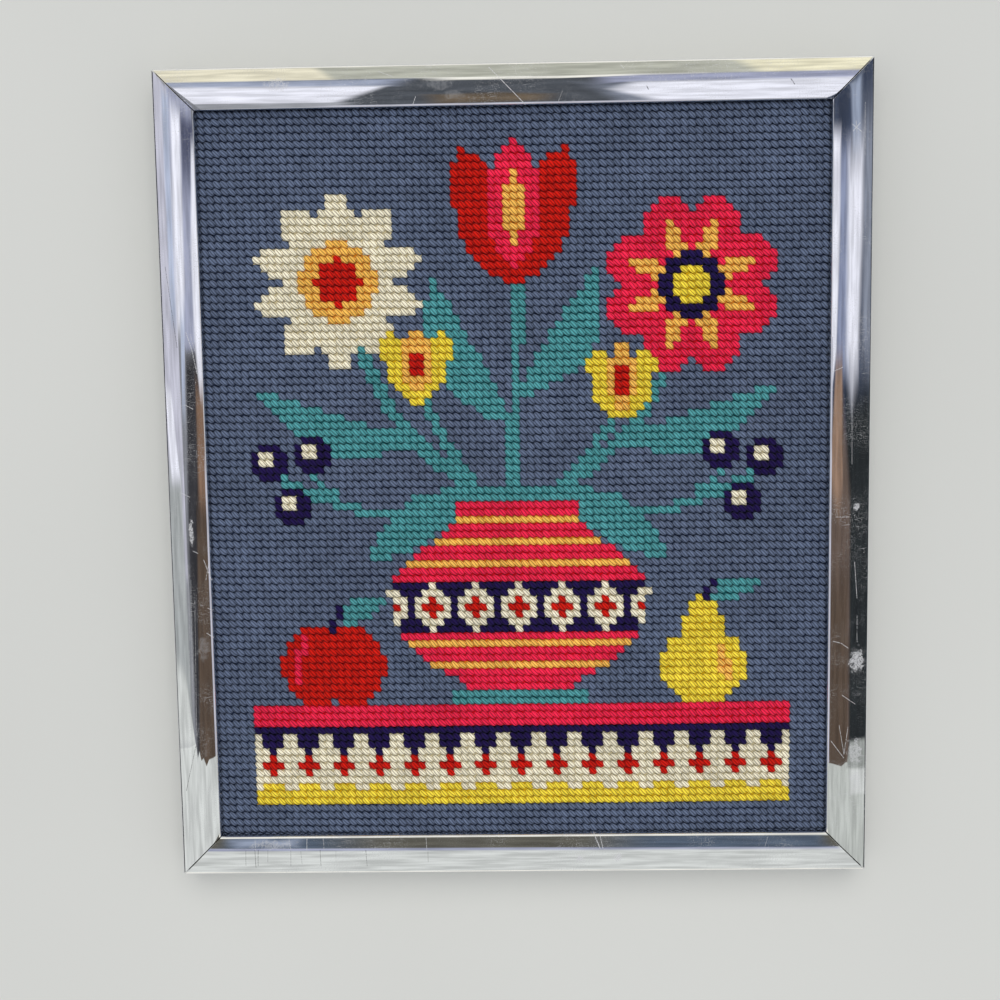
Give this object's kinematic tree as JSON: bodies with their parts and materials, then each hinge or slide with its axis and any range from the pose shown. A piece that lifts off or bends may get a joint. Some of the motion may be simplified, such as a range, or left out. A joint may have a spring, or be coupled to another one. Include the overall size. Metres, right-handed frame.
{
  "type": "needlepoint canvas panel in a metal section frame",
  "caption": "Flat wool needlepoint canvas held at its edges in a slim polished metal frame of mitred section rails, to hang on a hook, stand on a shelf or lie flat.",
  "frame": {"origin": "middle of the back, on the surface that the panel lies on", "axes": "+Z out of the worked face, +Y towards the top of the picture, +X to its right"},
  "size_m": [0.2456, 0.285, 0.0165],
  "materials": {
    "wool_stitches": "plump matt wool tent stitches on canvas, slate blue ground with motifs in yellow, red, pink, teal, navy and cream",
    "polished_metal": "polished to a near mirror, with fine scratches, scuffs and rubbed edges"
  },
  "bodies": {
    "root": {"canvas": "wool_stitches", "rail_top": "polished_metal", "rail_bottom": "polished_metal", "rail_left": "polished_metal", "rail_right": "polished_metal"}
  },
  "joints": []
}
